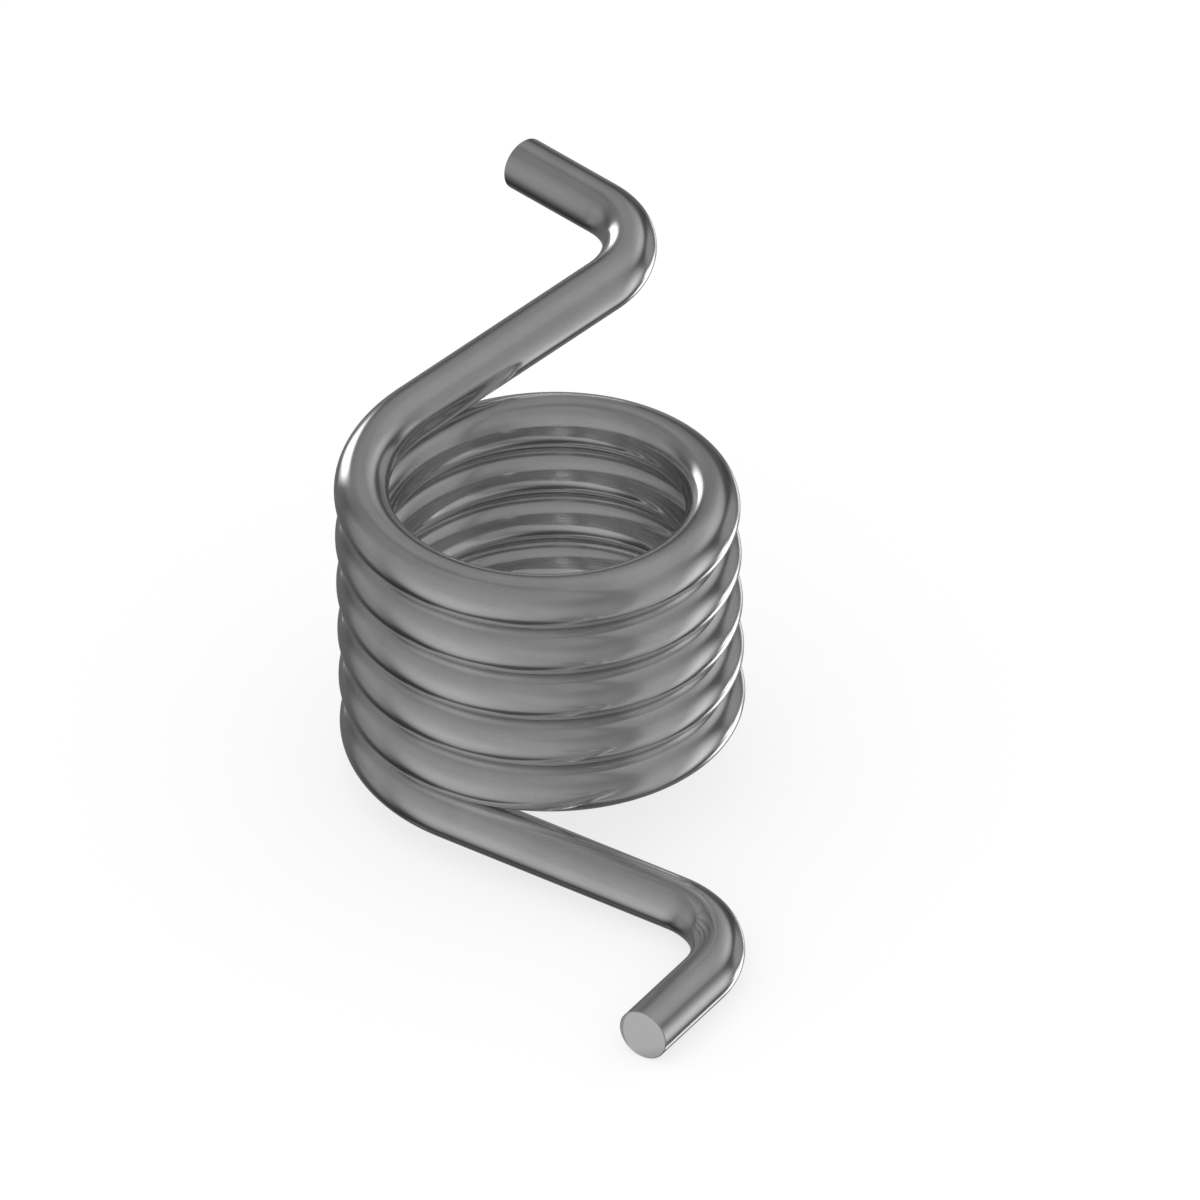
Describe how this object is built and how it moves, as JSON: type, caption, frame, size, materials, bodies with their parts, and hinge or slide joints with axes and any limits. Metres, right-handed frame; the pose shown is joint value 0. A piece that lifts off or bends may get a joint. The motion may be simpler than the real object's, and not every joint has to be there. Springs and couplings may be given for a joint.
{
  "type": "torsion spring",
  "caption": "Torsion spring of round wire, a close-wound coil with a straight leg at each end and each leg's tip bent square outwards.",
  "frame": {"origin": "middle of the coil, on its axis, halfway between the coil's two ends", "axes": "+Z along the coil's axis, +X midway between the two legs as seen along Z, and +Y completes the frame: the upper leg leads towards +X+Y and the lower leg towards +X-Y. A half turn about X swaps the two ends"},
  "size_m": [0.0222, 0.0588, 0.0212],
  "materials": {
    "spring_steel": "bright drawn wire with fine die lines along it, square-cut ends"
  },
  "bodies": {
    "root": {"torsion_spring": "spring_steel"}
  },
  "joints": []
}
